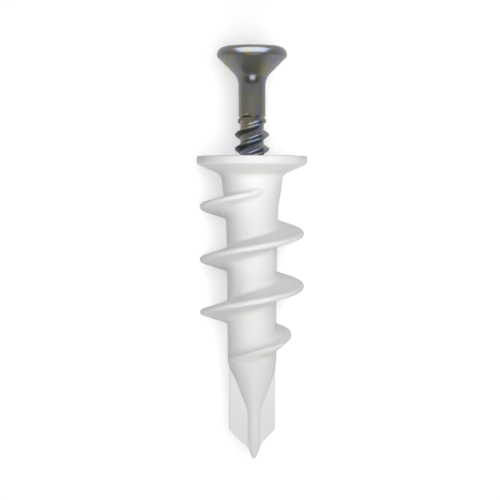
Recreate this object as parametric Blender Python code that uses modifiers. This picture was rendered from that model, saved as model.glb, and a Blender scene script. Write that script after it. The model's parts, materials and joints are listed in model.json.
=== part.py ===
"""Self-drilling plasterboard anchor: a moulded nylon plug with its countersunk steel screw started in it.

Both pieces are drawn upright, in metres, with z = 0 at the flange's top face, the drill tip down and
the side that the photo shows toward -Y. One empty then lays the pair down as it comes to rest, on the
rim of the flange and on one crest of the coarse thread.
"""

import math

import bmesh
import bpy
from mathutils import Vector

MM = 0.001

# Plug: flange, neck and shank
FLANGE_RADIUS = 6.6 * MM
FLANGE_BAND = 0.85 * MM
FLANGE_EDGE = 0.22 * MM
FLANGE_SLOPE = math.radians(23.5)
NECK_RADIUS = 3.57 * MM
NECK_FILLET = 0.9 * MM
SHANK_RADIUS = 2.97 * MM

# Plug: coarse right-hand thread, one start
PLUG_PITCH = 6.31 * MM
PLUG_CREST_RADIUS = 6.25 * MM
PLUG_PATH_RADIUS = 2.6 * MM
PLUG_LEFT_CREST_Z = -6.05 * MM
PLUG_THREAD_START = 306
PLUG_FULL_FROM = 180
PLUG_THREAD_END = -942

# Plug: drill end
CONE_TOP_Z = -24.8 * MM
CONE_END_Z = -30.3 * MM
POINT_OFFSET = 0.2 * MM
RIB_RADIUS = 0.89 * MM
BLADE_HALF_WIDTH = 2.78 * MM
BLADE_THICKNESS = 1.2 * MM
BLADE_SHOULDER_Z = -32.7 * MM
SPIKE_TOP_Z = -34.7 * MM
TIP_Z = -36.3 * MM

# Screw: head and shank
SCREW_LENGTH = 30.0 * MM
SCREW_TOP_Z = 13.0 * MM
HEAD_RADIUS = 4.18 * MM
HEAD_EDGE = 0.85 * MM
HEAD_BAND_Z = SCREW_TOP_Z - 1.12 * MM
UNDERHEAD_FILLET = 2.0 * MM
SCREW_SHANK_RADIUS = 1.61 * MM
SHOULDER_Z = 4.8 * MM
SHOULDER_DROP = 0.3 * MM

# Screw: right-hand thread, two starts
SCREW_ROOT_RADIUS = 1.4 * MM
SCREW_CREST_RADIUS = 2.05 * MM
SCREW_LEAD = 3.42 * MM
SCREW_FIRST_CREST_Z = 4.26 * MM
SCREW_PATH_RADIUS = 1.2 * MM
POINT_LENGTH = 4.0 * MM
SCREW_TIP_Z = SCREW_TOP_Z - SCREW_LENGTH
POINT_TOP_Z = SCREW_TIP_Z + POINT_LENGTH

# Bore and mouth of the plug, sized from the screw with a named clearance
THREAD_CLEARANCE = 0.07 * MM
BORE_RADIUS = SCREW_CREST_RADIUS + THREAD_CLEARANCE
BORE_CONE_Z = -24.9 * MM
BORE_END_Z = -29.0 * MM
MOUTH_RADIUS = 4.3 * MM

# Cross recesses: the driver turns the plug first and the screw after it
PLUG_CROSS_WIDTH = 1.1 * MM
PLUG_CROSS_TOP = 3.25 * MM
PLUG_CROSS_BOTTOM = 2.3 * MM
PLUG_CROSS_DEPTH = 7.0 * MM
HEAD_CROSS_WIDTH = 1.15 * MM
HEAD_CROSS_TOP = 2.2 * MM
HEAD_CROSS_BOTTOM = 0.85 * MM
HEAD_CROSS_DEPTH = 2.4 * MM

AROUND = 50
THREAD_STEP = 12
SCREW_AROUND = 40
SCREW_THREAD_STEP = 18

# How the pair lies: tipped until the second crest at the back touches down with the flange
REST_CREST_Z = PLUG_LEFT_CREST_Z - 1.25 * PLUG_PITCH
REST_DROP = FLANGE_RADIUS * math.cos(math.pi / AROUND) - PLUG_CREST_RADIUS
REST_TIP = math.atan(REST_DROP / (-REST_CREST_Z - 0.8 * FLANGE_BAND))


def clear_scene():
    for item in list(bpy.data.objects):
        bpy.data.objects.remove(item, do_unlink=True)


def new_collection(name):
    group = bpy.data.collections.new(name)
    bpy.context.scene.collection.children.link(group)
    return group


def new_material(name, colour, roughness, metallic):
    material = bpy.data.materials.new(name)
    material.use_nodes = True
    shader = material.node_tree.nodes["Principled BSDF"]
    shader.inputs["Base Color"].default_value = (*colour, 1.0)
    shader.inputs["Roughness"].default_value = roughness
    shader.inputs["Metallic"].default_value = metallic
    material.diffuse_color = (*colour, 1.0)
    return material


def add_object(name, mesh, group):
    item = bpy.data.objects.new(name, mesh)
    group.objects.link(item)
    return item


def as_cutter(item):
    item.hide_render = True
    item.display_type = "WIRE"
    return item


def arc(centre_r, centre_z, radius, start, end, count):
    """Points of an arc in the (r, z) half plane, angles in degrees from the outward direction."""
    points = []
    for i in range(count + 1):
        angle = math.radians(start + (end - start) * i / count)
        points.append((centre_r + radius * math.cos(angle), centre_z + radius * math.sin(angle)))
    return points


def turned(name, profile, group, steps=AROUND):
    """A solid of revolution: the profile's points (r, z) run down the outer side, top to bottom."""
    mesh = bpy.data.meshes.new(name)
    vertices = [(r, 0.0, z) for r, z in profile]
    edges = [(i, i + 1) for i in range(len(profile) - 1)]
    mesh.from_pydata(vertices, edges, [])
    item = add_object(name, mesh, group)
    spin = item.modifiers.new("turn", "SCREW")
    spin.steps = steps
    spin.render_steps = steps
    spin.use_merge_vertices = True
    spin.merge_threshold = 0.00001
    spin.use_smooth_shade = False
    return item


def plate(name, outline, thickness, group):
    """A flat plate: an outline of (x, z) points, thickened evenly about the XZ plane."""
    mesh = bpy.data.meshes.new(name)
    mesh.from_pydata([(x, 0.0, z) for x, z in outline], [], [tuple(range(len(outline)))])
    item = add_object(name, mesh, group)
    thick = item.modifiers.new("thickness", "SOLIDIFY")
    thick.thickness = thickness
    thick.offset = 0.0
    return item


def combine(item, other, operation, label):
    step = item.modifiers.new(label, "BOOLEAN")
    step.operation = operation
    step.solver = "EXACT"
    step.object = other


def outline_curve(name, section, group):
    """A closed thread section for the sweep: x points away from the axis and y along it."""
    curve = bpy.data.curves.new(name, "CURVE")
    curve.dimensions = "2D"
    spline = curve.splines.new("POLY")
    spline.points.add(len(section) - 1)
    for point, (x, y) in zip(spline.points, section):
        point.co = (x, y, 0.0, 1.0)
    spline.use_cyclic_u = True
    return as_cutter(add_object(name, curve, group))


def swept_ridge(name, path, section, group, twist="Z_UP"):
    """A thread ridge: the section swept from the path's last (x, y, z, size) point up to its first."""
    shape = outline_curve(name + "_section", section, group)
    curve = bpy.data.curves.new(name + "_path", "CURVE")
    curve.dimensions = "3D"
    curve.twist_mode = twist
    curve.bevel_mode = "OBJECT"
    curve.bevel_object = shape
    curve.use_fill_caps = True
    spline = curve.splines.new("POLY")
    spline.points.add(len(path) - 1)
    for point, (x, y, z, size) in zip(spline.points, reversed(path)):
        point.co = (x, y, z, 1.0)
        point.radius = size
    sweep = add_object(name + "_path", curve, group)
    graph = bpy.context.evaluated_depsgraph_get()
    mesh = bpy.data.meshes.new_from_object(sweep.evaluated_get(graph))
    bpy.data.objects.remove(sweep, do_unlink=True)
    bpy.data.objects.remove(shape, do_unlink=True)
    shell = bmesh.new()
    shell.from_mesh(mesh)
    bmesh.ops.remove_doubles(shell, verts=shell.verts, dist=1e-7)
    bmesh.ops.recalc_face_normals(shell, faces=shell.faces)
    shell.to_mesh(mesh)
    shell.free()
    return as_cutter(add_object(name, mesh, group))


def swept_round(name, path, group):
    """A round body swept down (x, y, z, radius) points, closed at both ends."""
    ring = arc(0.0, 0.0, 1.0, 0.0, 360.0, AROUND)[:-1]
    return swept_ridge(name, path, ring, group, "MINIMUM")


def blend(value, start, end):
    """0 at start, 1 at end, eased at both."""
    share = min(1.0, max(0.0, (value - start) / (end - start)))
    return share * share * (3.0 - 2.0 * share)


def along(points, value):
    """Straight-line reading of a list of (position, value) pairs in falling or rising order."""
    for (a, first), (b, second) in zip(points, points[1:]):
        if min(a, b) <= value <= max(a, b):
            return first + (second - first) * (value - a) / (b - a)
    return points[0][1] if abs(value - points[0][0]) < abs(value - points[-1][0]) else points[-1][1]


def plug_profile():
    """Outer side of the plug above its drill point, from the flange's top centre down."""
    points = [(0.0, 0.0)]
    points += arc(FLANGE_RADIUS - FLANGE_EDGE, -FLANGE_EDGE, FLANGE_EDGE, 90, 0, 3)
    lower = 0.4 * MM
    points += arc(FLANGE_RADIUS - lower, -FLANGE_BAND + 0.15 * MM, lower, -6, -66.5, 4)
    # The underside slopes in to the neck and meets it in a hollow fillet
    slope = math.tan(FLANGE_SLOPE)
    start_r, start_z = points[-1]
    corner_z = start_z - (start_r - NECK_RADIUS) * slope
    reach = NECK_FILLET * math.tan((math.pi / 2 - FLANGE_SLOPE) / 2)
    points += arc(NECK_RADIUS + NECK_FILLET, corner_z - reach, NECK_FILLET, 113.5, 180, 5)
    for r, z in ((3.54, -3.9), (3.45, -4.5), (3.31, -5.1), (3.22, -5.7), (3.16, -6.5), (3.1, -8.0)):
        points.append((r * MM, z * MM))
    points += [(3.05 * MM, -11.0 * MM), (3.0 * MM, -14.5 * MM), (SHANK_RADIUS, -18.0 * MM)]
    points += [(2.93 * MM, -23.6 * MM), (2.9 * MM, CONE_TOP_Z)]
    points += [(2.5 * MM, CONE_TOP_Z - 0.02 * MM), (2.3 * MM, -25.6 * MM), (0.0, -29.4 * MM)]
    return points


def point_path():
    """Centre line and radius of the drill point: cone, half-round rib and spike, a little off centre."""
    rings = [(0.0, 2.3, -24.2), (0.0, 2.88, -24.6), (0.1, 2.88, -24.9), (0.3, 2.83, -25.4)]
    rings += [(0.65, 2.67, -26.0), (0.9, 2.4, -26.8), (1.0, 1.3, -29.3), (1.0, 1.08, -29.85)]
    path = [(share * POINT_OFFSET, 0.0, z * MM, r * MM) for share, r, z in rings]
    path.append((POINT_OFFSET, 0.0, CONE_END_Z, RIB_RADIUS))
    path.append((POINT_OFFSET, 0.0, -32.5 * MM, RIB_RADIUS))
    path.append((POINT_OFFSET, 0.0, SPIKE_TOP_Z, RIB_RADIUS))
    for r, drop in ((0.5, 0.46), (0.45, 0.28), (0.31, 0.1), (0.12, 0.0)):
        path.append((POINT_OFFSET, 0.0, TIP_Z + drop * MM, r * MM))
    return path


def plug_thread_section():
    """Half-rounded ridge with a hollow fillet on each side where it leaves the shank."""
    upper = [(0.0, 1.42), (0.34, 1.36), (0.44, 1.2), (0.62, 1.07), (0.95, 0.99)]
    upper += [(3.25, 0.5), (3.5, 0.38), (3.6, 0.22)]
    section = [(x * MM, y * MM) for x, y in upper]
    section.append((PLUG_CREST_RADIUS - PLUG_PATH_RADIUS, 0.0))
    section += [(x, -y) for x, y in reversed(section[:-1])]
    return section


def plug_thread_path():
    """Points down the coarse thread, with the size that raises it out of the neck at the top."""
    full = PLUG_CREST_RADIUS - PLUG_PATH_RADIUS
    crest = [(PLUG_THREAD_START, 3.15), (288, 3.5), (234, 5.1), (205, 6.0), (PLUG_FULL_FROM, 6.25)]
    path = []
    steps = (PLUG_THREAD_START - PLUG_THREAD_END) // THREAD_STEP
    for i in range(steps + 1):
        turn = PLUG_THREAD_START - THREAD_STEP * i
        angle = math.radians(turn)
        z = PLUG_LEFT_CREST_Z - PLUG_PITCH * (180 - turn) / 360
        size = (along(crest, turn) * MM - PLUG_PATH_RADIUS) / full
        path.append((PLUG_PATH_RADIUS * math.cos(angle), PLUG_PATH_RADIUS * math.sin(angle), z, size))
    return path


def thread_envelope():
    """The turned outline that tapers the thread's last turn away, so that the plug starts easily."""
    points = [(0.0, -1.5), (7.5, -1.5), (7.5, -10.0), (7.5, -18.0), (6.3, -19.1), (5.55, -20.1)]
    points += [(4.86, -21.06), (3.78, -22.26), (3.33, -22.86), (3.06, -23.4), (2.96, -24.1)]
    points += [(2.7, -24.45), (0.0, -24.5)]
    return [(r * MM, z * MM) for r, z in points]


def blade_outline():
    """The flat drill blade: two wings that end in 45 degree shoulders at the spike."""
    half = BLADE_HALF_WIDTH
    inner = half - (BLADE_SHOULDER_Z - SPIKE_TOP_Z)
    top = CONE_TOP_Z - 0.1 * MM
    right = [(half, top), (half, BLADE_SHOULDER_Z), (inner, SPIKE_TOP_Z)]
    return right + [(-x, z) for x, z in reversed(right)]


def bore_profile():
    """Countersunk mouth, bore and its pointed blind end, as the solid that is cut away."""
    lift = 0.5 * MM
    points = [(0.0, lift), (MOUTH_RADIUS + lift, lift)]
    points.append((BORE_RADIUS, BORE_RADIUS - MOUTH_RADIUS))
    points += [(BORE_RADIUS, -9.0 * MM), (BORE_RADIUS, -17.0 * MM), (BORE_RADIUS, BORE_CONE_Z)]
    points += [(0.42 * MM, BORE_END_Z + 0.15 * MM), (0.0, BORE_END_Z)]
    return points


def cross_outline(top_half, bottom_half, top_z, depth, lift):
    """One tapered bar of a cross recess; two of them at right angles make the cross."""
    slope = (top_half - bottom_half) / depth
    high = top_half + slope * lift
    bottom = top_z - depth
    return [(high, top_z + lift), (bottom_half, bottom), (-bottom_half, bottom), (-high, top_z + lift)]


def cut_cross(item, label, outline, width, group, turn):
    for number, extra in ((1, 0.0), (2, 90.0)):
        bar = as_cutter(plate(f"{label}_bar_{number}", outline, width, group))
        bar.rotation_euler = (0.0, 0.0, math.radians(turn + extra))
        combine(item, bar, "DIFFERENCE", f"{label} {number}")


def screw_profile():
    """Head, hollow fillet, plain shank, shoulder, thread root and point, top centre to tip."""
    points = [(0.0, SCREW_TOP_Z)]
    points += arc(HEAD_RADIUS - HEAD_EDGE, SCREW_TOP_Z - HEAD_EDGE, HEAD_EDGE, 90, 0, 5)
    band = 0.3 * MM
    points += arc(HEAD_RADIUS - band, HEAD_BAND_Z, band, 0, -45, 2)
    edge_r, edge_z = points[-1]
    corner_z = edge_z - (edge_r - SCREW_SHANK_RADIUS)
    reach = UNDERHEAD_FILLET * math.tan(math.pi / 8)
    centre_r = SCREW_SHANK_RADIUS + UNDERHEAD_FILLET
    points += arc(centre_r, corner_z - reach, UNDERHEAD_FILLET, 135, 180, 5)
    points.append((SCREW_SHANK_RADIUS, SHOULDER_Z))
    points.append((SCREW_ROOT_RADIUS, SHOULDER_Z - SHOULDER_DROP))
    points += [(SCREW_ROOT_RADIUS, z * MM) for z in (-1.0, -7.0)]
    points.append((SCREW_ROOT_RADIUS, POINT_TOP_Z))
    points.append((0.75 * MM, POINT_TOP_Z - 2.0 * MM))
    points.append((0.12 * MM, SCREW_TIP_Z + 0.12 * MM))
    points.append((0.0, SCREW_TIP_Z))
    return points


def screw_thread_section():
    upper = [(0.0, 0.5), (0.25, 0.39)]
    section = [(x * MM, y * MM) for x, y in upper]
    section.append((SCREW_CREST_RADIUS - SCREW_PATH_RADIUS, 0.04 * MM))
    return section + [(x, -y) for x, y in reversed(section)]


def screw_thread_path(first_turn):
    """Points down one of the two threads; first_turn is where its first crest passes the side."""
    end_z = SCREW_TIP_Z + 0.9 * MM
    start = 55.0
    drop = SCREW_FIRST_CREST_Z - end_z
    sweep = start + 360.0 * drop / SCREW_LEAD
    steps = round(sweep / SCREW_THREAD_STEP)
    path = []
    for i in range(steps + 1):
        back = start - sweep * i / steps
        z = SCREW_FIRST_CREST_Z + SCREW_LEAD * back / 360
        taper = min(1.0, max(0.0, (z - SCREW_TIP_Z) / POINT_LENGTH))
        centre = SCREW_PATH_RADIUS * taper
        rise = 0.25 + 0.75 * blend(back, start, -110.0)
        size = rise * (0.25 + 0.75 * taper)
        angle = math.radians(first_turn + back)
        path.append((centre * math.cos(angle), centre * math.sin(angle), z, size))
    return path


def build_plug(group, cutters):
    plug = turned("anchor_body", plug_profile(), group)
    blade = as_cutter(plate("blade", blade_outline(), BLADE_THICKNESS, cutters))
    combine(plug, blade, "UNION", "drill blade")
    point = swept_round("drill_point", point_path(), cutters)
    combine(plug, point, "UNION", "drill point")
    ridge = swept_ridge("coarse_thread", plug_thread_path(), plug_thread_section(), cutters)
    envelope = as_cutter(turned("thread_envelope", thread_envelope(), cutters))
    combine(ridge, envelope, "INTERSECT", "lead-in taper")
    combine(plug, ridge, "UNION", "coarse thread")
    bore = as_cutter(turned("bore", bore_profile(), cutters, 48))
    combine(plug, bore, "DIFFERENCE", "bore and mouth")
    outline = cross_outline(PLUG_CROSS_TOP, PLUG_CROSS_BOTTOM, 0.0, PLUG_CROSS_DEPTH, 0.5 * MM)
    cut_cross(plug, "plug_cross", outline, PLUG_CROSS_WIDTH, cutters, 45.0)
    plug.data.materials.append(new_material("moulded nylon", (0.84, 0.84, 0.83), 0.42, 0.0))
    return plug


def build_screw(group, cutters):
    screw = turned("screw", screw_profile(), group, SCREW_AROUND)
    for number, first_turn in ((1, 0.0), (2, 180.0)):
        path = screw_thread_path(first_turn)
        ridge = swept_ridge(f"screw_thread_{number}", path, screw_thread_section(), cutters)
        combine(screw, ridge, "UNION", f"thread start {number}")
    outline = cross_outline(HEAD_CROSS_TOP, HEAD_CROSS_BOTTOM, SCREW_TOP_Z, HEAD_CROSS_DEPTH, 0.4 * MM)
    cut_cross(screw, "head_cross", outline, HEAD_CROSS_WIDTH, cutters, 20.0)
    screw.data.materials.append(new_material("bright zinc on steel", (0.62, 0.63, 0.66), 0.24, 1.0))
    return screw


def lay_down(pieces, cutters, group):
    """Lay the pair on its back and set it over the origin, with its lowest points at z = 0."""
    rest = bpy.data.objects.new("rest", None)
    group.objects.link(rest)
    rest.rotation_euler = (-math.pi / 2 + REST_TIP, 0.0, 0.0)
    for item in [*pieces, *cutters.objects]:
        item.parent = rest
    turn = rest.rotation_euler.to_matrix()
    graph = bpy.context.evaluated_depsgraph_get()
    low = Vector((1.0, 1.0, 1.0))
    high = -low
    for piece in pieces:
        for vertex in piece.evaluated_get(graph).data.vertices:
            spot = turn @ vertex.co
            low = Vector(map(min, low, spot))
            high = Vector(map(max, high, spot))
    rest.location = (-(low.x + high.x) / 2, -(low.y + high.y) / 2, -low.z)


def main():
    clear_scene()
    group = new_collection("plasterboard_anchor")
    cutters = new_collection("cutters")
    plug = build_plug(group, cutters)
    screw = build_screw(group, cutters)
    lay_down([plug, screw], cutters, group)


main()
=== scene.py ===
"""Looks of a plasterboard anchor: a moulded nylon plug with a bright zinc-plated screw started in it.

Shapes are worked out in millimetres in the anchor's own upright frame: z = 0 at the flange's top face,
drill tip down, the photographed side toward -y. They are then carried into the row frame, in metres.
Each piece is one skin of rows: a row is a closed ring of columns round the axis, and the rows run from
the pole inside a recess, out over the top and down the outer side to the pole at the tip.
Turns are angles round the axis in degrees, 0 at the photo's right; down a thread they run below 0.
"""

import json
import math

import bpy
import numpy as np
from mathutils import Matrix, Vector


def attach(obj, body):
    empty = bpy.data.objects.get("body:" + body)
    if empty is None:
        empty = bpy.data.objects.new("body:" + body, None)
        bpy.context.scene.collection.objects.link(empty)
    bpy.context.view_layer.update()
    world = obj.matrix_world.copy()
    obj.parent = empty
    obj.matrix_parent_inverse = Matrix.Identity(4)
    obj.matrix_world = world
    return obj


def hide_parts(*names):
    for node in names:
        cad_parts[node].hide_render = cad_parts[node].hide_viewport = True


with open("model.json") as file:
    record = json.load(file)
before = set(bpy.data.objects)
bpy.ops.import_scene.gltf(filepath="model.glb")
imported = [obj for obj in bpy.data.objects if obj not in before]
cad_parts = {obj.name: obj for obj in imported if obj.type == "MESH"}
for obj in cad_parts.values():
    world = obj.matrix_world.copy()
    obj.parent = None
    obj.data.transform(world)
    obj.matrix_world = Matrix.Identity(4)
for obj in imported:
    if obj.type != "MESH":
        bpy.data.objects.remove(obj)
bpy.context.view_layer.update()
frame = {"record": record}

MM = 0.001

# Where the anchor lies: the record's flange mount gives its axis and one point of its top face
FLANGE_MOUNT = frame["record"]["mounts"][0]
MOUNT_FROM_AXIS = 5.35
UP = Vector(FLANGE_MOUNT["axis"])
FRONT = Vector((0.0, -UP.z, UP.y))
ORIGIN = Vector(FLANGE_MOUNT["pos_m"]) - FRONT * MOUNT_FROM_AXIS * MM

# Plug: flange, neck and shank
FLANGE_RADIUS = 6.6
FLANGE_EDGE = 0.22
FLANGE_LOWER_ARC = 0.4
FLANGE_LOWER_Z = -0.7
FLANGE_SLOPE = 23.5
NECK_FILLET = 0.9
NECK_Z = -2.9
NECK_STEP = 0.29
NECK_STEP_Z = -4.75
NECK_STEP_WIDTH = 0.45
SHANK_RADIUS = 2.9
SHANK_SPREAD = 0.18
SHANK_SPREAD_Z = -8.0
SHANK_SPREAD_LENGTH = 6.0

# Plug: coarse right-hand thread. Its flank and root end at these offsets from the crest line
PLUG_PITCH = 6.31
PLUG_LEFT_CREST_Z = -6.05
PLUG_CREST_RADIUS = 6.23
PLUG_CREST_ROUND = 0.36
PLUG_FLANK_ANGLE = 14.0
PLUG_ROOT_FILLET = 0.6
PLUG_FLANK_END = 0.99
PLUG_ROOT_END = 1.58
THREAD_TOP_Z = -3.0
THREAD_TOP_FADE = 0.3
THREAD_END_Z = -24.6
THREAD_END_FADE = 0.6

# Coarse thread, upper end: the crest rises evenly out of the neck
RUN_IN_START = 313.0
RUN_IN_TURN = 133.0
RUN_IN_CREST = 2.96
RUN_IN_RISE = 3.8
RUN_IN_ROUND = 0.5

# Coarse thread, drill end: crest radius over the turns, and the turns over which the root widens
RUN_OUT_TURNS = (-950.0, -877.0, -841.0, -810.0, -781.0, -750.0, -720.0, -690.0, -655.0)
RUN_OUT_CREST = (2.9, 3.3, 3.62, 4.02, 4.42, 4.87, 5.35, 5.87, 6.25)
RUN_OUT_FILLET = 0.5
RUN_OUT_FILLET_TURNS = (-690.0, -800.0)

# Coarse thread, drill end: the lead-in is a cone over the last turn; it drops and steepens along it
LEAD_IN_Z = -22.45
LEAD_IN_DROP = 2.12
LEAD_IN_DROP_TURNS = (-700.0, -800.0)
LEAD_IN_SLOPE = 1.55
LEAD_IN_EASE = 0.82
LEAD_IN_EASE_TURNS = (-720.0, -810.0)
LEAD_IN_SOFT = 0.35
LEAD_IN_SHARPNESS = 10.0

# Plug: drill point, a round form (cone, rib, spike) set off the axis and a flat blade
CONE_FOOT_Z = -26.5
CONE_FOOT_RADIUS = 2.31
CONE_FOOT_ROUND = 0.35
CONE_SLOPE = 0.372
CONE_END_Z = -30.6
RIB_RADIUS = 0.89
RIB_ROUND = 0.25
RIB_MIDDLE_Z = -31.0
POINT_OFFSET = 0.25
POINT_OFFSET_Z = -27.0
BLADE_HALF_WIDTH = 2.8
BLADE_HALF_THICKNESS = 0.5
BLADE_SINK = 0.17
BLADE_ROUND = 0.16
BLADE_SHARPNESS = 18
BLADE_SHOULDER_Z = -32.7
BLADE_SHOULDER_ROUND = 0.12
BLADE_LEAST_WIDTH = 0.3
BLADE_END_Z = -35.2
SPIKE_SLOPE = 0.369
SPIKE_ROUND = 0.12
TIP_ROUND = 0.3
TIP_Z = -36.3

# Plug: mouth, bore and cross slots
MOUTH_RADIUS = 4.3
MOUTH_ROUND = 0.2
MOUTH_EDGE_Z = -0.12
MOUTH_EDGE_ROWS = ((-0.05, 4.26), (-0.012, 4.34), (0.0, 4.45), (0.0, 5.4))
BORE_RADIUS = 2.12
BORE_ROWS = (-22.0, -19.0, -16.0, -13.0, -10.0, -8.0)
BORE_CONE_Z = -24.9
BORE_CONE_SLOPE = 0.43
BORE_CONE_ROWS = (-28.2, -27.4, -26.6, -25.8)
BORE_END_Z = -29.0
BORE_END_ROWS = ((0.0, 0.0), (0.03, 0.2), (0.15, 0.42))
SLOT_HALF_WIDTH = 0.55
SLOT_TOP = 3.25
SLOT_BOTTOM = 2.3
SLOT_DEPTH = 7.0
SLOT_TURN = 45.0
SLOT_ROUND = 0.12
SLOT_SHARPNESS = 16

# Screw: head and shank
SCREW_TOP_Z = 13.0
SCREW_TIP_Z = -17.0
HEAD_RADIUS = 4.18
HEAD_EDGE = 1.0
HEAD_BAND = 0.18
HEAD_BAND_Z = 11.88
UNDERHEAD_FILLET = 2.0
SCREW_SHANK_RADIUS = 1.61
SCREW_SHANK_ROWS = (7.0, 6.0)
SHOULDER_Z = 4.65
SHOULDER_SOFT = 0.15
RECESS_HALF_WIDTH = 0.575
RECESS_TOP = 2.2
RECESS_BOTTOM = 0.85
RECESS_DEPTH = 2.4
RECESS_ROWS = (1.0, 1.0, 0.8, 0.6, 0.4, 0.2, 0.06, 0.0)
RECESS_FLOOR_DROP = 0.12
RECESS_POLE_DROP = 0.06
RECESS_LIP = 0.06
RECESS_TURN = 20.0
RECESS_SHARPNESS = 14

# Screw: right-hand thread, two starts. Its flank and root end at these offsets from the crest line
SCREW_LEAD = 3.42
SCREW_ROOT_RADIUS = 1.4
SCREW_CREST_RADIUS = 2.05
SCREW_CREST_ROUND = 0.12
SCREW_FLANK_ANGLE = 30.0
SCREW_ROOT_FILLET = 0.16
SCREW_FLANK_END = 0.38
SCREW_ROOT_END = 0.56
SCREW_PLAIN_MIDDLE = 0.7
SCREW_FIRST_CREST_Z = 4.26
SCREW_THREAD_TOP_Z = 5.3
SCREW_THREAD_TOP_FADE = 0.2
SCREW_THREAD_END_Z = -16.6
SCREW_THREAD_END_FADE = 0.5
SCREW_START_HEIGHT = 0.15
SCREW_START_TURNS = (75.0, 55.0)
SCREW_RISE_TURNS = (62.0, -100.0)

# Screw: point
POINT_LENGTH = 4.0
POINT_RADIUS = 0.10
POINT_SLOPE = 0.325
POINT_ROUND = 0.3
POINT_CREST = 0.2125
POINT_ROWS = ((-16.75, 0.17), (-16.88, 0.12), (-16.96, 0.07), (SCREW_TIP_Z, 0.0))

# Meshes: columns round the axis, and the steps to the millimetre on which points are welded. The
# shift keeps the round numbers above off the border between two steps
PLUG_COLUMNS = 240
SCREW_COLUMNS = 144
WELD_STEPS = 1e5
WELD_SHIFT = 0.123
SHARP_EDGE = 40.0

# Colours, sRGB
NYLON = "#EDEDEB"
NYLON_CLOUD = "#E7E7E5"
# Zinc base colours, darker than zinc and tinted bluish and straw: painted reflection of dark surroundings, a
# bluish light and a khaki ground
ZINC_AND_BLUE_REFLECTION = "#7B8191"
ZINC_AND_STRAW_REFLECTION = "#8E8870"
FLOOR_COLOUR = "#F2F2F2"
WHITE = "#FFFFFF"
COOL_WHITE = "#DCE6FF"
WORLD_LOW = "#C8C8C8"
WORLD_HIGH = "#5C5C5C"

# The floor's own light, to the camera and in what metal and glass show
FLOOR_GLOW = 0.4
FLOOR_GLOW_REFLECTED = 0.08
FLOOR_SIDE = 1.5

# The photograph's view: level with the upper coarse thread, and turned down to the picture's middle
PHOTO_PIXELS = 500
PHOTO_SCALE = 0.1195
PHOTO_DISTANCE = 192.0
PHOTO_LEVEL_Z = -3.42
PHOTO_MIDDLE = (-0.24, -11.22)
SENSOR_WIDTH = 36.0


def smooth_max(a, b, k):
    """The larger of a and b; where they differ by less than k, a parabola rounds the corner."""
    near = np.maximum(k - np.abs(a - b), 0.0) / k
    return np.maximum(a, b) + near * near * k / 4


def smooth_min(a, b, k):
    """The smaller of a and b, rounded in the same way."""
    return -smooth_max(-np.asarray(a), -np.asarray(b), k)


def power_min(a, b, power):
    """The smaller of two heights, a^-n + b^-n to the power -1/n: rounded where they cross."""
    high, low = np.maximum(a, b), np.minimum(a, b)
    return low / (1.0 + (low / np.maximum(high, 1e-9)) ** power) ** (1.0 / power)


def ease(value, start, end):
    """0 at start and 1 at end, level at both: 3s^2 - 2s^3 of the share s of the way."""
    share = np.clip((np.asarray(value, float) - start) / (end - start), 0.0, 1.0)
    return share * share * (3.0 - 2.0 * share)


def arc(centre_r, centre_z, radius, start, end, count):
    """(z, r) rows of an arc in the half plane, angles in degrees from the outward direction."""
    angle = np.radians(np.linspace(start, end, count + 1))
    return [(centre_z + radius * math.sin(a), centre_r + radius * math.cos(a)) for a in angle]


def ridge_height(offset, height, crest_round, flank, fillet):
    """How far a thread ridge stands above its core, at an axial offset from the crest line.

    A round crest of radius crest_round, a straight flank at the angle flank from square, and a hollow
    arc of radius fillet into the core. Where the ridge is too low for a flank, the two arcs touch.
    """
    offset = np.abs(offset)
    height = np.maximum(height, 1e-6)
    s, c = math.sin(math.radians(flank)), math.cos(math.radians(flank))
    both = crest_round + fillet
    crest_end = crest_round * c
    foot = crest_end + (fillet - (both - height - crest_round * s) * s) / c
    flank_end = foot - fillet * c
    low = flank_end < crest_end
    low_foot = np.sqrt(np.maximum(both**2 - np.maximum(both - height, 0.0) ** 2, 0.0))
    foot = np.where(low, low_foot, foot)
    flank_end = np.where(low, low_foot * crest_round / both, flank_end)
    crest_end = np.where(low, flank_end, crest_end)
    crest = height - crest_round + np.sqrt(np.maximum(crest_round**2 - offset**2, 0.0))
    side = height - crest_round * (1.0 - s) - (offset - crest_round * c) * c / s
    hollow = fillet - np.sqrt(np.maximum(fillet**2 - (foot - offset) ** 2, 0.0))
    inner = np.where(offset <= crest_end, crest, side)
    outer = np.where(offset < foot, hollow, 0.0)
    return np.maximum(np.where(offset <= flank_end, inner, outer), 0.0)


def bar_radius(angle, length, half_width, sharpness):
    """Polar outline of a bar from the axis, length long: |cos/length|^n + |sin/half_width|^n = r^-n."""
    along = np.abs(np.cos(angle)) / length
    across = np.abs(np.sin(angle)) / half_width
    return (along**sharpness + across**sharpness) ** (-1.0 / sharpness)


def sector(count, knots, places):
    """Angles of the columns of one sector, in degrees from its middle, the same to both sides.

    knots are column numbers from the middle and places are the angles that those columns take, with
    even steps between them, so that a row's columns follow a recess's corners.
    """
    number = np.arange(-(count // 2), count // 2)
    return np.sign(number) * np.interp(np.abs(number), knots, places)


def columns(count, fold, knots, places):
    """Angles of a whole row's columns: the turn is cut into fold equal sectors about 0."""
    one = sector(count // fold, knots, places)
    return np.concatenate([one + 360.0 / fold * i for i in range(fold)])


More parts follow.
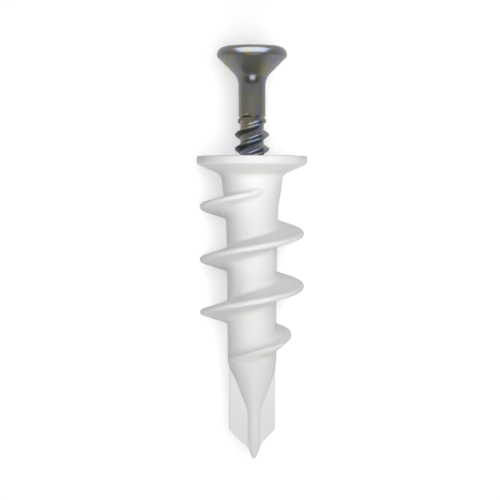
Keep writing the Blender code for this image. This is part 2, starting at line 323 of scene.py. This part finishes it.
class Skin:
    """Collects grids of points, in mm, and makes one closed mesh of them."""

    def __init__(self, across):
        """across is the number of columns in each of the piece's rows."""
        self.across = across
        self.points = []
        self.faces = []
        self.count = 0

    def add(self, grid, wrap):
        """Adds grid[row, column] = (x, y, z), rows running down the outside, columns counter-clockwise."""
        rows, across = grid.shape[:2]
        index = self.count + np.arange(rows * across).reshape(rows, across)
        if wrap:
            index = np.concatenate([index, index[:, :1]], axis=1)
        a, b = index[:-1, :-1], index[1:, :-1]
        c, d = index[1:, 1:], index[:-1, 1:]
        self.points.append(grid.reshape(-1, 3))
        self.faces.append(np.stack([a, b, c], -1).reshape(-1, 3))
        self.faces.append(np.stack([a, c, d], -1).reshape(-1, 3))
        self.count += rows * across

    def rows(self, heights, radii, angles, centre=0.0):
        """Adds rings: height, radius, column angle in degrees and centre x, each per row or per point."""
        shape = (len(heights), self.across)
        z = np.broadcast_to(np.reshape(heights, (-1, 1)), shape)
        r = np.broadcast_to(radii if np.ndim(radii) == 2 else np.reshape(radii, (-1, 1)), shape)
        x = np.broadcast_to(np.reshape(centre, (-1, 1)), shape)
        t = np.radians(np.broadcast_to(angles, shape))
        self.add(np.stack([x + r * np.cos(t), r * np.sin(t), z], -1), True)

    def mesh(self, name):
        """Welds points that fall together, drops faces with no area and places the mesh in the row frame."""
        points = np.concatenate(self.points)
        faces = np.concatenate(self.faces)
        keys = np.round(points * WELD_STEPS + WELD_SHIFT)
        first, place = np.unique(keys, axis=0, return_index=True, return_inverse=True)[1:]
        place = place.reshape(-1)
        faces = place[faces]
        a, b, c = faces.T
        faces = faces[(a != b) & (b != c) & (c != a)]
        used, faces = np.unique(faces, return_inverse=True)
        faces = faces.reshape(-1, 3)
        kept = points[first][used] * MM
        turn = np.array([[1.0, 0.0, 0.0], [-v for v in FRONT], list(UP)])
        placed = kept @ turn + np.array(ORIGIN)
        mesh = bpy.data.meshes.new(name)
        mesh.vertices.add(len(placed))
        mesh.vertices.foreach_set("co", placed.astype(np.float32).ravel())
        mesh.loops.add(faces.size)
        mesh.loops.foreach_set("vertex_index", faces.astype(np.int32).ravel())
        mesh.polygons.add(len(faces))
        mesh.polygons.foreach_set("loop_start", np.arange(0, faces.size, 3, dtype=np.int32))
        mesh.update(calc_edges=True)
        mesh.validate()
        mesh.shade_smooth()
        mesh.set_sharp_from_angle(angle=math.radians(SHARP_EDGE))
        return mesh


def helix_grid(top_z, end_z, lead, crest_z, offsets, count, radius):
    """A strip that winds down the axis between two heights, one lead wide, with its ends flattened.

    Point (offset, turn) lies at z = crest_z(turn) + offset, held between end_z and top_z, where crest_z
    rises by one lead a turn. radius(turn, z, offset) gives its distance from the axis.
    """
    step = 360.0 / count
    low = math.floor(((end_z - crest_z - lead) / lead * 360.0) / step)
    high = math.ceil(((top_z - crest_z + lead) / lead * 360.0) / step)
    turn = np.arange(low, high + 1) * step
    z = crest_z + lead * turn[None, :] / 360.0 + offsets[:, None]
    z = np.clip(z, end_z, top_z)
    offset = z - (crest_z + lead * turn[None, :] / 360.0)
    r = radius(turn[None, :], z, offset)
    t = np.radians(turn)[None, :]
    return np.stack([r * np.cos(t), r * np.sin(t), z], -1)


def both_sides(half):
    """Offsets from +half down to -half, from the rising half given."""
    half = np.asarray(half)
    return np.concatenate([half[::-1], -half[1:]])


def plug_core(z):
    """Radius of the plug's shank: it spreads toward the flange, with a soft step out to the neck."""
    neck = NECK_STEP / (1.0 + np.exp((NECK_STEP_Z - z) / NECK_STEP_WIDTH))
    spread = SHANK_SPREAD * np.exp((z - SHANK_SPREAD_Z) / SHANK_SPREAD_LENGTH)
    return SHANK_RADIUS + spread + neck


def plug_thread_radius(turn, z, offset):
    """Coarse thread: it grows out of the neck over a third of a turn and is tapered off at the drill end.

    The ridge's height over the shank is the lower of two: that of its own profile at the crest radius
    of this turn, and the height of the lead-in, a cone that opens upward, soft where it leaves the shank.
    """
    core = plug_core(z)
    run_in = RUN_IN_CREST + RUN_IN_RISE * (RUN_IN_START - turn) / RUN_IN_TURN
    crest = smooth_min(PLUG_CREST_RADIUS, run_in, RUN_IN_ROUND)
    crest = np.minimum(crest, np.interp(turn, RUN_OUT_TURNS, RUN_OUT_CREST))
    fillet = PLUG_ROOT_FILLET + RUN_OUT_FILLET * ease(turn, *RUN_OUT_FILLET_TURNS)
    height = ridge_height(offset, crest - core, PLUG_CREST_ROUND, PLUG_FLANK_ANGLE, fillet)
    height = np.where(crest > core, height, 0.0)
    lead_in = LEAD_IN_Z - LEAD_IN_DROP * ease(turn, *LEAD_IN_DROP_TURNS)
    slope = LEAD_IN_SLOPE - LEAD_IN_EASE * ease(turn, *LEAD_IN_EASE_TURNS)
    limit = slope * LEAD_IN_SOFT * np.logaddexp(0.0, (z - lead_in) / LEAD_IN_SOFT)
    limit = limit * ease(z, THREAD_END_Z, THREAD_END_Z + THREAD_END_FADE)
    height = power_min(height, limit, LEAD_IN_SHARPNESS)
    return core + height * ease(z, THREAD_TOP_Z, THREAD_TOP_Z - THREAD_TOP_FADE)


def plug_thread(skin):
    """Coarse thread with the shank under it: rows crowd on the round crest and in the root's hollow."""
    cap = PLUG_CREST_ROUND * np.sin(np.radians(np.linspace(0, 78, 8)))
    flank = np.linspace(cap[-1], PLUG_FLANK_END, 7)[1:]
    hollow_width = PLUG_ROOT_END - PLUG_FLANK_END
    hollow = PLUG_ROOT_END - hollow_width * np.cos(np.radians(np.linspace(0, 90, 7)))[1:]
    plain = np.linspace(PLUG_ROOT_END, PLUG_PITCH / 2, 6)[1:]
    offsets = both_sides(np.concatenate([cap, flank, hollow, plain]))
    right_crest_z = PLUG_LEFT_CREST_Z - PLUG_PITCH / 2
    grid = helix_grid(
        THREAD_TOP_Z, THREAD_END_Z, PLUG_PITCH, right_crest_z, offsets, PLUG_COLUMNS, plug_thread_radius
    )
    skin.add(grid, False)


def slot_length(z):
    """How far the plug's cross slots reach from the axis: less and less from the flange to their foot."""
    return SLOT_TOP + (SLOT_BOTTOM - SLOT_TOP) * (z / -SLOT_DEPTH)


def slot_columns(z, share, even):
    """Column angles of one row in the slots: a share of the way from even ones to the slots' corners."""
    corner = math.degrees(math.atan(SLOT_HALF_WIDTH / slot_length(z)))
    places = [0.0, corner - 1.2, corner + 0.8, 16.2, 45.0]
    fitted = columns(PLUG_COLUMNS, 4, [0, 7, 12, 18, 30], places) + SLOT_TURN
    return fitted * share + even * (1.0 - share)


def plug_inside(skin, even):
    """Blind bore, four cross slots round it and the countersunk mouth, from the bore's foot up.

    In the slots, the radius is the larger of the bore, widened at 45 degrees to the mouth, and a cross
    of bars. Returns the height and radius of the mouth's upper edge.
    """
    foot = slot_columns(-SLOT_DEPTH, 1.0, even)
    bore = [(BORE_END_Z + rise, radius) for rise, radius in BORE_END_ROWS]
    bore += [(z, BORE_RADIUS + (z - BORE_CONE_Z) * BORE_CONE_SLOPE) for z in BORE_CONE_ROWS]
    bore += [(z, BORE_RADIUS) for z in (BORE_CONE_Z, *BORE_ROWS, -SLOT_DEPTH)]
    z, r = np.array(bore).T
    skin.rows(z, r, foot)

    z = np.concatenate([np.linspace(-SLOT_DEPTH, -2.6, 12), np.linspace(-2.5, MOUTH_EDGE_Z, 22)])
    share = ease(z, -0.15, -1.0)
    angle = np.array([slot_columns(height, part, even) for height, part in zip(z, share)])
    hole = smooth_max(np.full_like(z, BORE_RADIUS), MOUTH_RADIUS + z, MOUTH_ROUND)[:, None]
    from_slot = (angle - SLOT_TURN + 45.0) % 90.0 - 45.0
    length = slot_length(z)[:, None]
    slot = bar_radius(np.radians(from_slot), length, SLOT_HALF_WIDTH, SLOT_SHARPNESS)
    radius = smooth_max(hole, slot, SLOT_ROUND)
    floor = np.full_like(radius[:1], BORE_RADIUS)
    skin.rows(np.array([-SLOT_DEPTH, -SLOT_DEPTH]), np.concatenate([floor, radius[:1]]), angle[:1])
    skin.rows(z, radius, angle)
    return z[-1], float(radius[-1, 0])


def blade_columns(centre, half):
    """Column angles of one row of the drill end, fitted to the blade's corners on the right and left."""
    sides = []
    for width, start in ((half - centre, 0.0), (half + centre, 180.0)):
        corner = math.degrees(math.atan2(BLADE_HALF_THICKNESS, width))
        places = [0.0, corner - 3.2, corner + 1.6, 90.0]
        sides.append(sector(PLUG_COLUMNS // 2, [0, 5, 15, PLUG_COLUMNS // 4], places) + start)
    return np.concatenate(sides)


def plug_point(skin):
    """Drill end: a round cone, rib and spike, set a little off the axis, joined to a flat blade.

    The radius from the point's own axis is the larger of the round form and a bar, which reaches as far
    as the blade does on that side. The blade's shoulders run in at 45 degrees, and it ends on the spike.
    """
    spike_angle = math.atan(SPIKE_SLOPE)
    spike_z = TIP_Z + TIP_ROUND * (1.0 - math.sin(spike_angle))
    spike_r = TIP_ROUND * math.cos(spike_angle)
    upper = [np.linspace(THREAD_END_Z, CONE_END_Z, 56)]
    upper.append(np.linspace(CONE_END_Z - 0.2, BLADE_SHOULDER_Z + 0.1, 8))
    lower = [np.linspace(BLADE_SHOULDER_Z + 0.02, BLADE_END_Z, 34)]
    lower.append(np.linspace(BLADE_END_Z - 0.1, spike_z, 8))
    z = np.concatenate(upper + lower)
    centre = POINT_OFFSET * ease(z, THREAD_END_Z, POINT_OFFSET_Z)
    cone = CONE_FOOT_RADIUS + CONE_SLOPE * (z - CONE_FOOT_Z)
    cone = smooth_max(RIB_RADIUS, smooth_min(plug_core(z), cone, CONE_FOOT_ROUND), RIB_ROUND)
    spike = smooth_min(RIB_RADIUS, spike_r + SPIKE_SLOPE * (z - spike_z), SPIKE_ROUND)
    body = np.where(z > RIB_MIDDLE_Z, cone, spike)
    half = BLADE_HALF_WIDTH - np.maximum(BLADE_SHOULDER_Z - z, 0.0)
    half = np.maximum(smooth_min(half, BLADE_HALF_WIDTH, BLADE_SHOULDER_ROUND), BLADE_LEAST_WIDTH)

    share = ease(z, THREAD_END_Z, THREAD_END_Z - 0.8)[:, None]
    even = columns(PLUG_COLUMNS, 2, [0, PLUG_COLUMNS // 4], [0.0, 90.0])
    fitted = np.array([blade_columns(mid, wide) for mid, wide in zip(centre, half)])
    angle = fitted * share + even * (1.0 - share)
    right = np.abs((angle + 180.0) % 360.0 - 180.0) < 90.0
    width = half[:, None] + np.where(right, -1.0, 1.0) * centre[:, None]
    thick = np.minimum(BLADE_HALF_THICKNESS, body - BLADE_SINK)[:, None]
    blade = bar_radius(np.radians(angle), width, thick, BLADE_SHARPNESS)
    blade = np.where(z[:, None] < BLADE_END_Z, 0.0, blade)
    radius = smooth_max(body[:, None], blade, BLADE_ROUND)
    radius[0] = plug_core(THREAD_END_Z)
    skin.rows(z, radius, angle, centre)

    ball = np.radians(np.linspace(-math.degrees(spike_angle), -90.0, 9))
    r = TIP_ROUND * np.cos(ball)
    r[0] = radius[-1].min()
    r[-1] = 0.0
    skin.rows(TIP_Z + TIP_ROUND + TIP_ROUND * np.sin(ball), r, angle[-1], POINT_OFFSET)


def plug_skin():
    """The whole plug, from the foot of its bore to the drill tip."""
    skin = Skin(PLUG_COLUMNS)
    even = columns(PLUG_COLUMNS, 4, [0, PLUG_COLUMNS // 8], [0.0, 45.0]) + SLOT_TURN
    rows = [plug_inside(skin, even), *MOUTH_EDGE_ROWS]
    rows += arc(FLANGE_RADIUS - FLANGE_EDGE, -FLANGE_EDGE, FLANGE_EDGE, 90, 0, 6)
    lower_centre = FLANGE_RADIUS - FLANGE_LOWER_ARC
    lower = arc(lower_centre, FLANGE_LOWER_Z, FLANGE_LOWER_ARC, 0, FLANGE_SLOPE - 90.0, 9)
    rows += lower
    neck = plug_core(NECK_Z)
    start_z, start_r = lower[-1]
    corner_z = start_z - (start_r - neck) * math.tan(math.radians(FLANGE_SLOPE))
    reach = NECK_FILLET * math.tan(math.radians(90.0 - FLANGE_SLOPE) / 2)
    rows += arc(neck + NECK_FILLET, corner_z - reach, NECK_FILLET, 90.0 + FLANGE_SLOPE, 180, 10)
    rows.append((THREAD_TOP_Z, plug_core(THREAD_TOP_Z)))
    z, r = np.array(rows).T
    skin.rows(z, r, even)
    plug_thread(skin)
    plug_point(skin)
    return skin


def screw_core(z):
    """Radius under the screw's thread: shank, shoulder, root and a long point."""
    shoulder = ease(z, SHOULDER_Z - SHOULDER_SOFT, SHOULDER_Z + SHOULDER_SOFT)
    root = SCREW_ROOT_RADIUS + (SCREW_SHANK_RADIUS - SCREW_ROOT_RADIUS) * shoulder
    point = POINT_RADIUS + (z - SCREW_TIP_Z) * POINT_SLOPE
    return smooth_min(root, point, POINT_ROUND)


def screw_thread_radius(turn, z, offset):
    """Two ridges a half lead apart: each rises out of the shoulder and narrows with the point.

    The strip holds the ridge on its crest line and the one half a lead below. The next ones above and
    below reach over its edges, so all four are laid on, each with its own start.
    """
    core = screw_core(z)
    share = np.clip((z - SCREW_TIP_Z) / POINT_LENGTH, 0.0, 1.0)
    crest = POINT_CREST + (SCREW_CREST_RADIUS - POINT_CREST) * share
    radius = core
    for half_turns in (-1, 0, 1, 2):
        since_start = turn - 180.0 * half_turns
        rise = SCREW_START_HEIGHT + (1.0 - SCREW_START_HEIGHT) * ease(since_start, *SCREW_RISE_TURNS)
        height = np.maximum(crest - core, 0.0) * rise * ease(since_start, *SCREW_START_TURNS)
        aside = offset + half_turns * SCREW_LEAD / 2
        ridge = ridge_height(aside, height, SCREW_CREST_ROUND, SCREW_FLANK_ANGLE, SCREW_ROOT_FILLET)
        radius = np.maximum(radius, core + np.where(height > 1e-5, ridge, 0.0))
    fade = ease(z, SCREW_THREAD_END_Z, SCREW_THREAD_END_Z + SCREW_THREAD_END_FADE)
    fade = fade * ease(z, SCREW_THREAD_TOP_Z, SCREW_THREAD_TOP_Z - SCREW_THREAD_TOP_FADE)
    return core + (radius - core) * fade


def screw_top(skin, even):
    """Cross recess, a cross of bars that narrows with its depth, and the flat top round it."""
    depth = np.array(RECESS_ROWS)
    length = RECESS_TOP + (RECESS_BOTTOM - RECESS_TOP) * depth
    knots = [0, 4, 9, SCREW_COLUMNS // 8]
    angle = []
    for reach in length:
        corner = math.degrees(math.atan(RECESS_HALF_WIDTH / reach))
        angle.append(columns(SCREW_COLUMNS, 4, knots, [0.0, corner - 2.0, corner + 2.0, 45.0]))
    angle = np.array(angle)
    from_bar = np.radians(((angle + 45.0) % 90.0) - 45.0)
    recess = bar_radius(from_bar, length[:, None], RECESS_HALF_WIDTH, RECESS_SHARPNESS)
    recess[0] *= 0.5
    z = SCREW_TOP_Z - RECESS_DEPTH * depth
    z[0] -= RECESS_FLOOR_DROP
    angle = angle + RECESS_TURN
    heights = np.concatenate([[z[0] - RECESS_POLE_DROP], z])
    radii = np.concatenate([np.zeros((1, SCREW_COLUMNS)), recess])
    skin.rows(heights, radii, np.concatenate([angle[:1], angle]))

    lip = recess[-1:] + RECESS_LIP
    rim = np.full((1, SCREW_COLUMNS), HEAD_RADIUS - HEAD_EDGE)
    radii = np.concatenate([recess[-1:], lip, lip * 0.4 + rim * 0.6, rim])
    angles = np.concatenate([angle[-1:], angle[-1:], angle[-1:] * 0.4 + even * 0.6, even[None, :]])
    skin.rows(np.full(4, SCREW_TOP_Z), radii, angles)


def screw_side():
    """(z, r) rows of the head's edge, its 45-degree cone, the fillet under it and the plain shank."""
    rows = arc(HEAD_RADIUS - HEAD_EDGE, SCREW_TOP_Z - HEAD_EDGE, HEAD_EDGE, 90, 0, 12)
    rows += arc(HEAD_RADIUS - HEAD_BAND, HEAD_BAND_Z, HEAD_BAND, 0, -45, 6)
    edge_z, edge_r = rows[-1]
    corner_z = edge_z - (edge_r - SCREW_SHANK_RADIUS)
    reach = UNDERHEAD_FILLET * math.tan(math.pi / 8)
    centre_r = SCREW_SHANK_RADIUS + UNDERHEAD_FILLET
    fillet = arc(centre_r, corner_z - reach, UNDERHEAD_FILLET, 135, 180, 12)
    foot_z, foot_r = fillet[0]
    cone = np.linspace(0.0, 1.0, 6)[1:-1]
    rows += [(edge_z + (foot_z - edge_z) * s, edge_r + (foot_r - edge_r) * s) for s in cone]
    rows += fillet
    rows += [(z, SCREW_SHANK_RADIUS) for z in SCREW_SHANK_ROWS]
    rows.append((SCREW_THREAD_TOP_Z, float(screw_core(SCREW_THREAD_TOP_Z))))
    return rows


def screw_skin():
    """The whole screw, from the foot of its cross recess to its point."""
    skin = Skin(SCREW_COLUMNS)
    even = columns(SCREW_COLUMNS, 4, [0, SCREW_COLUMNS // 8], [0.0, 45.0]) + RECESS_TURN
    screw_top(skin, even)
    z, r = np.array(screw_side()).T
    skin.rows(z, r, even)

    cap = SCREW_CREST_ROUND * np.sin(np.radians(np.linspace(0, 60, 4)))
    flank = np.linspace(cap[-1], SCREW_FLANK_END, 5)[1:]
    hollow = np.linspace(SCREW_FLANK_END, SCREW_ROOT_END, 5)[1:]
    first = both_sides(np.concatenate([cap, flank, hollow, [SCREW_PLAIN_MIDDLE, SCREW_LEAD / 4]]))
    offsets = np.concatenate([first, first[1:] - SCREW_LEAD / 2])
    grid = helix_grid(
        SCREW_THREAD_TOP_Z, SCREW_THREAD_END_Z, SCREW_LEAD, SCREW_FIRST_CREST_Z, offsets,
        SCREW_COLUMNS, screw_thread_radius,
    )
    skin.add(grid, False)
    point = [(SCREW_THREAD_END_Z, float(screw_core(SCREW_THREAD_END_Z))), *POINT_ROWS]
    z, r = np.array(point).T
    skin.rows(z, r, even)
    return skin


def linear(colour):
    """An sRGB hex colour as the linear values that shaders take."""
    parts = [int(colour[i:i + 2], 16) / 255.0 for i in (1, 3, 5)]
    return tuple(v / 12.92 if v <= 0.04045 else ((v + 0.055) / 1.055) ** 2.4 for v in parts) + (1.0,)


def add_node(tree, kind, inputs=None, **settings):
    """Adds a node. inputs gives each socket, by name or number, a value or the socket that feeds it."""
    node = tree.nodes.new(kind)
    for name, value in settings.items():
        setattr(node, name, value)
    for name, value in (inputs or {}).items():
        if isinstance(value, bpy.types.NodeSocket):
            tree.links.new(value, node.inputs[name])
        else:
            node.inputs[name].default_value = value
    return node


def new_material(name):
    """A material that uses nodes, with its node tree and its shader."""
    material = bpy.data.materials.new(name)
    material.use_nodes = True
    tree = material.node_tree
    return material, tree, tree.nodes["Principled BSDF"]


def moulded_nylon():
    """White nylon 66, injection moulded: a satin, faintly milky skin.

    Its clouds are about 5 mm across; the mould's grain, 0.2 mm, only softens the gloss.
    """
    material, tree, shader = new_material("moulded white nylon 66")
    place = add_node(tree, "ShaderNodeTexCoord").outputs["Object"]
    cloud = add_node(tree, "ShaderNodeTexNoise", {"Vector": place, "Scale": 180.0, "Detail": 2.0})
    colour = add_node(
        tree, "ShaderNodeMix",
        {"Factor": cloud.outputs["Fac"], "A": linear(NYLON), "B": linear(NYLON_CLOUD)},
        data_type="RGBA",
    )
    tree.links.new(colour.outputs["Result"], shader.inputs["Base Color"])
    grain = add_node(tree, "ShaderNodeTexNoise", {"Vector": place, "Scale": 5000.0, "Detail": 3.0})
    bump = add_node(
        tree, "ShaderNodeBump",
        {"Height": grain.outputs["Fac"], "Strength": 0.1, "Distance": 0.00003},
    )
    tree.links.new(bump.outputs["Normal"], shader.inputs["Normal"])
    gloss = add_node(
        tree, "ShaderNodeMapRange",
        {"Value": cloud.outputs["Fac"], "To Min": 0.5, "To Max": 0.6},
    )
    tree.links.new(gloss.outputs["Result"], shader.inputs["Roughness"])
    shader.inputs["IOR"].default_value = 1.53
    shader.inputs["Subsurface Weight"].default_value = 0.15
    shader.inputs["Subsurface Radius"].default_value = (1.0, 0.95, 0.9)
    shader.inputs["Subsurface Scale"].default_value = 0.0006
    return material


def bright_zinc():
    """Bright zinc plate on steel, rolled and blue passivated: glossy, a little uneven in its gloss.

    Its colour is painted reflection: base colours darker than zinc stand in for dark surroundings, and
    faint bluish and straw clouds, about 1.5 mm across and drawn out to 5 mm along the axis, are painted
    reflections of a bluish light above and a khaki ground below.
    """
    material, tree, shader = new_material("bright zinc-plated steel")
    place = add_node(tree, "ShaderNodeTexCoord").outputs["Object"]
    reflection_streaks = add_node(tree, "ShaderNodeMapping", {"Vector": place, "Scale": (1.0, 0.3, 1.0)})
    cloud = add_node(
        tree, "ShaderNodeTexNoise",
        {"Vector": reflection_streaks.outputs["Vector"], "Scale": 700.0, "Detail": 3.0},
    )
    painted_reflection = add_node(
        tree, "ShaderNodeMapRange",
        {"Value": cloud.outputs["Fac"], "From Min": 0.33, "From Max": 0.67},
        interpolation_type="SMOOTHSTEP",
    )
    # Base colour with painted reflections: bluish and straw clouds streaked along the axis
    colour = add_node(
        tree, "ShaderNodeMix",
        {"Factor": painted_reflection.outputs["Result"], "A": linear(ZINC_AND_BLUE_REFLECTION), "B": linear(ZINC_AND_STRAW_REFLECTION)},
        data_type="RGBA",
    )
    tree.links.new(colour.outputs["Result"], shader.inputs["Base Color"])
    gloss = add_node(
        tree, "ShaderNodeMapRange",
        {"Value": cloud.outputs["Fac"], "To Min": 0.22, "To Max": 0.36},
    )
    tree.links.new(gloss.outputs["Result"], shader.inputs["Roughness"])
    shader.inputs["Metallic"].default_value = 1.0
    return material


def add_piece(name, skin, material, body, node):
    """Makes a skin an object that rides on a body and takes the place of a node's solid."""
    piece = bpy.data.objects.new(name, skin.mesh(name))
    bpy.context.scene.collection.objects.link(piece)
    piece.data.materials.append(material)
    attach(piece, body)
    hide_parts(node)
    return piece


def add_floor():
    """A wide pale floor.

    To the camera it glows enough to come out white. Metal and glass show it with a much smaller glow,
    so that the screw's sides stay as dark as in the photo. Neither glow lights the anchor.
    """
    mesh = bpy.data.meshes.new("floor")
    side = FLOOR_SIDE
    corners = [(-side, -side, 0.0), (side, -side, 0.0), (side, side, 0.0), (-side, side, 0.0)]
    mesh.from_pydata(corners, [], [(0, 1, 2, 3)])
    floor = bpy.data.objects.new("floor", mesh)
    bpy.context.scene.collection.objects.link(floor)
    material, tree, shader = new_material("pale floor")
    shader.inputs["Base Color"].default_value = linear(FLOOR_COLOUR)
    shader.inputs["Roughness"].default_value = 0.9
    shader.inputs["Specular IOR Level"].default_value = 0.1
    ray = add_node(tree, "ShaderNodeLightPath").outputs
    shown = add_node(
        tree, "ShaderNodeMath",
        {0: ray["Is Glossy Ray"], 1: ray["Is Transmission Ray"]},
        operation="MAXIMUM",
    )
    seen = add_node(
        tree, "ShaderNodeMath", {0: ray["Is Camera Ray"], 1: FLOOR_GLOW}, operation="MULTIPLY"
    )
    glow = add_node(
        tree, "ShaderNodeMath",
        {0: shown.outputs[0], 1: FLOOR_GLOW_REFLECTED, 2: seen.outputs[0]},
        operation="MULTIPLY_ADD",
    )
    shader.inputs["Emission Color"].default_value = linear(WHITE)
    tree.links.new(glow.outputs[0], shader.inputs["Emission Strength"])
    floor.data.materials.append(material)


def add_lamp(name, spot, target, size, power, colour=WHITE, size_y=None):
    """A rectangular lamp at spot that faces target, size by size_y metres, or square; power in watts."""
    data = bpy.data.lights.new(name, "AREA")
    data.shape = "RECTANGLE"
    data.size = size
    data.size_y = size_y or size
    data.energy = power
    data.color = linear(colour)[:3]
    lamp = bpy.data.objects.new(name, data)
    lamp.location = spot
    lamp.rotation_mode = "QUATERNION"
    lamp.rotation_quaternion = (target - spot).to_track_quat("-Z", "Y")
    lamp.visible_camera = False
    bpy.context.scene.collection.objects.link(lamp)
    return lamp


def add_lamps():
    """The lamps, placed in metres from the anchor's middle."""
    middle = in_row_frame(0.0, 0.0, -11.0)
    front_spot = middle + Vector((0.045, 0.0, 0.36))
    front = add_lamp("front", front_spot, middle, size=0.22, power=0.53)
    # It would stand as a hard white bar in the screw's shank, which the photo's shank lacks
    front.visible_glossy = False

    # Close to the flange, so that the plug is brightest there and falls off to the drill end
    flange = middle + Vector((0.0, 0.011, 0.0))
    flange_spot = middle + Vector((0.006, 0.011, 0.045))
    near = add_lamp("flange side", flange_spot, flange, size=0.03, power=0.0075)
    near.visible_glossy = False

    right_spot = middle + Vector((0.34, 0.0, 0.22))
    add_lamp("right side", right_spot, middle, size=0.2, power=0.05)
    left_spot = middle + Vector((-0.34, 0.0, 0.22))
    add_lamp("left side", left_spot, middle, size=0.2, power=0.04)
    tip_spot = middle + Vector((0.02, -0.25, 0.25))
    add_lamp("tip side", tip_spot, middle, size=0.2, power=0.34)

    # A wide cool card that only metal and gloss show: the light on the head's edge and the crests
    card_spot = middle + Vector((0.0, 0.31, 0.29))
    card = add_lamp("head side", card_spot, middle, size=0.8, power=5.6, colour=COOL_WHITE, size_y=0.56)
    card.visible_diffuse = False


def add_world():
    """A studio that is pale at the horizon and grey above, at half strength where it lights surfaces."""
    world = bpy.data.worlds.new("studio")
    bpy.context.scene.world = world
    world.use_nodes = True
    tree = world.node_tree
    shade = tree.nodes["Background"]
    way = add_node(tree, "ShaderNodeTexCoord").outputs["Generated"]
    parts = add_node(tree, "ShaderNodeSeparateXYZ", {"Vector": way})
    rise = add_node(
        tree, "ShaderNodeMapRange",
        {"Value": parts.outputs["Z"], "From Min": 0.05, "From Max": 0.6},
        interpolation_type="SMOOTHSTEP",
    )
    colour = add_node(
        tree, "ShaderNodeMix",
        {"Factor": rise.outputs["Result"], "A": linear(WORLD_LOW), "B": linear(WORLD_HIGH)},
        data_type="RGBA",
    )
    tree.links.new(colour.outputs["Result"], shade.inputs["Color"])
    ray = add_node(tree, "ShaderNodeLightPath").outputs
    level = add_node(
        tree, "ShaderNodeMapRange", {"Value": ray["Is Diffuse Ray"], "To Min": 1.0, "To Max": 0.5}
    )
    tree.links.new(level.outputs["Result"], shade.inputs["Strength"])


def in_row_frame(x, y, z):
    """A point of the anchor's upright frame, in mm, as a point of the row frame, in metres."""
    return ORIGIN + (Vector((1.0, 0.0, 0.0)) * x - FRONT * y + UP * z) * MM


def add_camera():
    """The photograph's camera: it shows PHOTO_SCALE mm to the pixel at the anchor's axis."""
    data = bpy.data.cameras.new("camera")
    data.sensor_width = SENSOR_WIDTH
    data.lens = SENSOR_WIDTH * PHOTO_DISTANCE / (PHOTO_PIXELS * PHOTO_SCALE)
    data.clip_start = 0.01
    camera = bpy.data.objects.new("camera", data)
    spot = in_row_frame(PHOTO_MIDDLE[0], -PHOTO_DISTANCE, PHOTO_LEVEL_Z)
    target = in_row_frame(PHOTO_MIDDLE[0], 0.0, PHOTO_MIDDLE[1])
    back = (spot - target).normalized()
    right = UP.cross(back).normalized()
    top = back.cross(right)
    turn = Matrix((right, top, back)).transposed()
    camera.matrix_world = Matrix.Translation(spot) @ turn.to_4x4()
    bpy.context.scene.collection.objects.link(camera)
    bpy.context.scene.camera = camera


plug = add_piece("plug", plug_skin(), moulded_nylon(), "anchor", "anchor_body")
screw = add_piece(
    "countersunk_screw", screw_skin(), bright_zinc(), "fixing_screw", "screw"
)
add_floor()
add_lamps()
add_world()
add_camera()
bpy.context.scene.view_settings.view_transform = "Standard"
